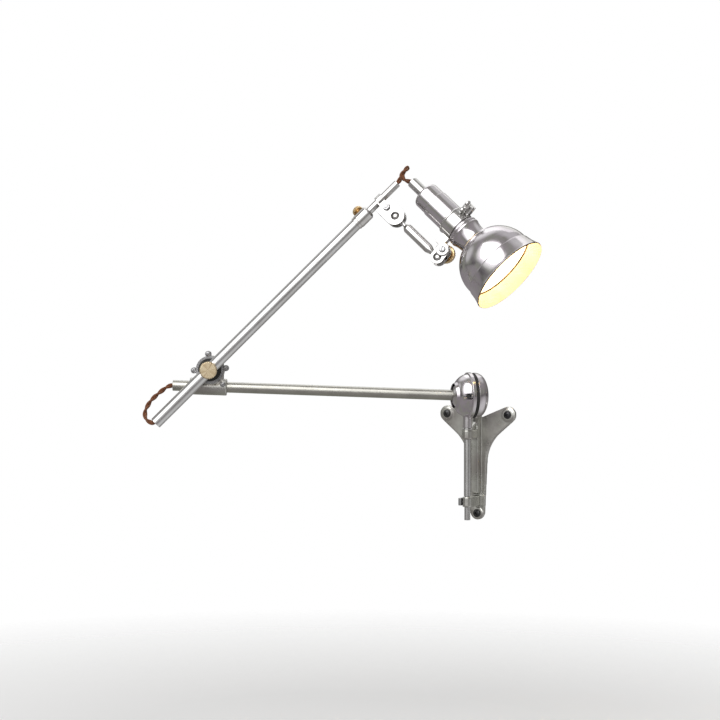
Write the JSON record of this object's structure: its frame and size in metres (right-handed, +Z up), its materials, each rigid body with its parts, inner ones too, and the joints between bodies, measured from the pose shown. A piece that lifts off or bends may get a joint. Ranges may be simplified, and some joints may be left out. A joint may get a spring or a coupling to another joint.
{
  "type": "swing arm wall sconce",
  "caption": "Wall sconce with a cast bracket, a ball shoulder, two tube arms, an elbow clamp and a ball-linked lamp head with a spun metal shade.",
  "frame": {"origin": "middle of the bracket's flat back face, on the wall plane, halfway between the ear holes' level and the foot hole", "axes": "+Y into the wall, normal to the back face; +Z up; +X to the right for a person facing the wall"},
  "size_m": [0.5004, 0.2716, 0.4782],
  "materials": {
    "cast_aluminium": "polished sand casting with a slightly uneven skin",
    "polished_aluminium": "polished, spun or turned",
    "steel_tube": "satin drawn tube",
    "bright_nickel": "bright nickel plate",
    "brass": "turned brass",
    "screw_steel": "plain steel screws",
    "black_fibre": "matt black fibre",
    "porcelain": "glazed porcelain",
    "bulb_glass": "frosted lamp glass",
    "brown_cord": "braided brown cotton"
  },
  "bodies": {
    "wall_bracket": {"bracket_casting": "cast_aluminium", "upper_bush": "bright_nickel", "lug_set_screw": "screw_steel"},
    "pintle": {"pintle_tube": "steel_tube", "front_shell": "polished_aluminium", "rear_shell": "polished_aluminium", "shell_gasket": "black_fibre", "front_seat": "black_fibre", "rear_seat": "black_fibre", "shell_screws": "screw_steel"},
    "lower_arm": {"shoulder_ball": "bright_nickel", "lower_tube": "steel_tube", "lower_tube_bush": "black_fibre", "elbow_casting": "cast_aluminium", "elbow_cover_ring": "bright_nickel", "elbow_cover_screws": "screw_steel", "sleeve_screw": "screw_steel", "elbow_cord": "brown_cord"},
    "upper_arm": {"friction_disc": "black_fibre", "tube_saddle": "bright_nickel", "upper_tube": "steel_tube", "upper_tube_bush": "black_fibre", "pivot_bolt": "screw_steel", "knob_washer": "screw_steel"},
    "elbow_knob": {"elbow_knob": "brass"},
    "coupling": {"coupling_sleeve": "bright_nickel"},
    "coupling_screw": {"coupling_thumbscrew": "brass"},
    "extension": {"extension_tube": "bright_nickel", "extension_bush": "black_fibre", "tube_collar": "bright_nickel", "link_plate_front": "bright_nickel", "link_plate_back": "bright_nickel", "link_bolt": "screw_steel", "link_nut": "screw_steel", "head_cord": "brown_cord"},
    "link": {"link_rod": "bright_nickel", "upper_ball_stud": "bright_nickel", "lower_ball_stud": "bright_nickel"},
    "head_band": {"clamp_band": "bright_nickel", "head_plate_front": "bright_nickel", "head_plate_back": "bright_nickel", "head_bolt": "screw_steel", "head_disc": "bright_nickel"},
    "thumb_nut": {"thumb_nut": "brass"},
    "wing_screw": {"wing_screw": "bright_nickel"},
    "head": {"cord_inlet": "bright_nickel", "socket_cap": "polished_aluminium", "socket_body": "porcelain", "screw_shell": "brass", "centre_contact": "brass", "terminal_screws": "brass", "shade_neck": "polished_aluminium", "shade_bowl": "polished_aluminium", "bulb_base": "brass", "bulb_glass": "bulb_glass"}
  },
  "joints": [
    {"name": "pintle_swing", "type": "hinge", "parent": "wall_bracket", "child": "pintle", "pos_m": [0, -0.034, 0], "axis": [0, 0, 1], "range_deg": [-22, 120]},
    {"name": "shoulder_tilt", "type": "hinge", "parent": "pintle", "child": "lower_arm", "pos_m": [0, -0.034, 0.0937], "axis": [0.5, -0.866, 0], "range_deg": [-15, 17]},
    {"name": "elbow_fold", "type": "hinge", "parent": "lower_arm", "child": "upper_arm", "pos_m": [-0.3005, -0.20749, 0.12883], "axis": [0.5, -0.866, 0], "range_deg": [-20, 95], "deforming": ["elbow_cord"]},
    {"name": "elbow_knob_turn", "type": "hinge", "parent": "upper_arm", "child": "elbow_knob", "pos_m": [-0.2885, -0.22828, 0.12883], "axis": [0.5, -0.866, 0], "continuous": true},
    {"name": "head_swivel", "type": "hinge", "parent": "upper_arm", "child": "coupling", "pos_m": [-0.11014, -0.1253, 0.33299], "axis": [0.615, 0.3551, 0.704], "range_deg": [-75, 75]},
    {"name": "coupling_screw_turn", "type": "hinge", "parent": "coupling", "child": "coupling_screw", "pos_m": [-0.10928, -0.1248, 0.33398], "axis": [-0.7662, 0.4798, 0.4274], "continuous": true},
    {"name": "reach_slide", "type": "slide", "parent": "coupling", "child": "extension", "axis": [0.615, 0.3551, 0.704], "range_m": [-0.012, 0.035]},
    {"name": "link_swing", "type": "hinge", "parent": "extension", "child": "link", "pos_m": [-0.066, -0.11368, 0.33261], "axis": [-0.2483, 0.9347, -0.2545], "range_deg": [-8, 30], "deforming": ["head_cord"]},
    {"name": "head_nod", "type": "hinge", "parent": "link", "child": "head_band", "pos_m": [-0.00351, -0.11216, 0.27725], "axis": [-0.2483, 0.9347, -0.2545], "range_deg": [-3, 20]},
    {"name": "thumb_nut_turn", "type": "hinge", "parent": "head_band", "child": "thumb_nut", "pos_m": [0.00229, -0.1081, 0.28647], "axis": [-0.2483, 0.9347, -0.2545], "continuous": true},
    {"name": "wing_screw_turn", "type": "hinge", "parent": "head_band", "child": "wing_screw", "pos_m": [0.0329, -0.09483, 0.34363], "axis": [0.023, -0.9997, -0.0016], "continuous": true},
    {"name": "head_turn", "type": "hinge", "parent": "head_band", "child": "head", "pos_m": [-0.05091, -0.09682, 0.37982], "axis": [0.7484, 0.0183, -0.663], "range_deg": [-90, 90]}
  ]
}
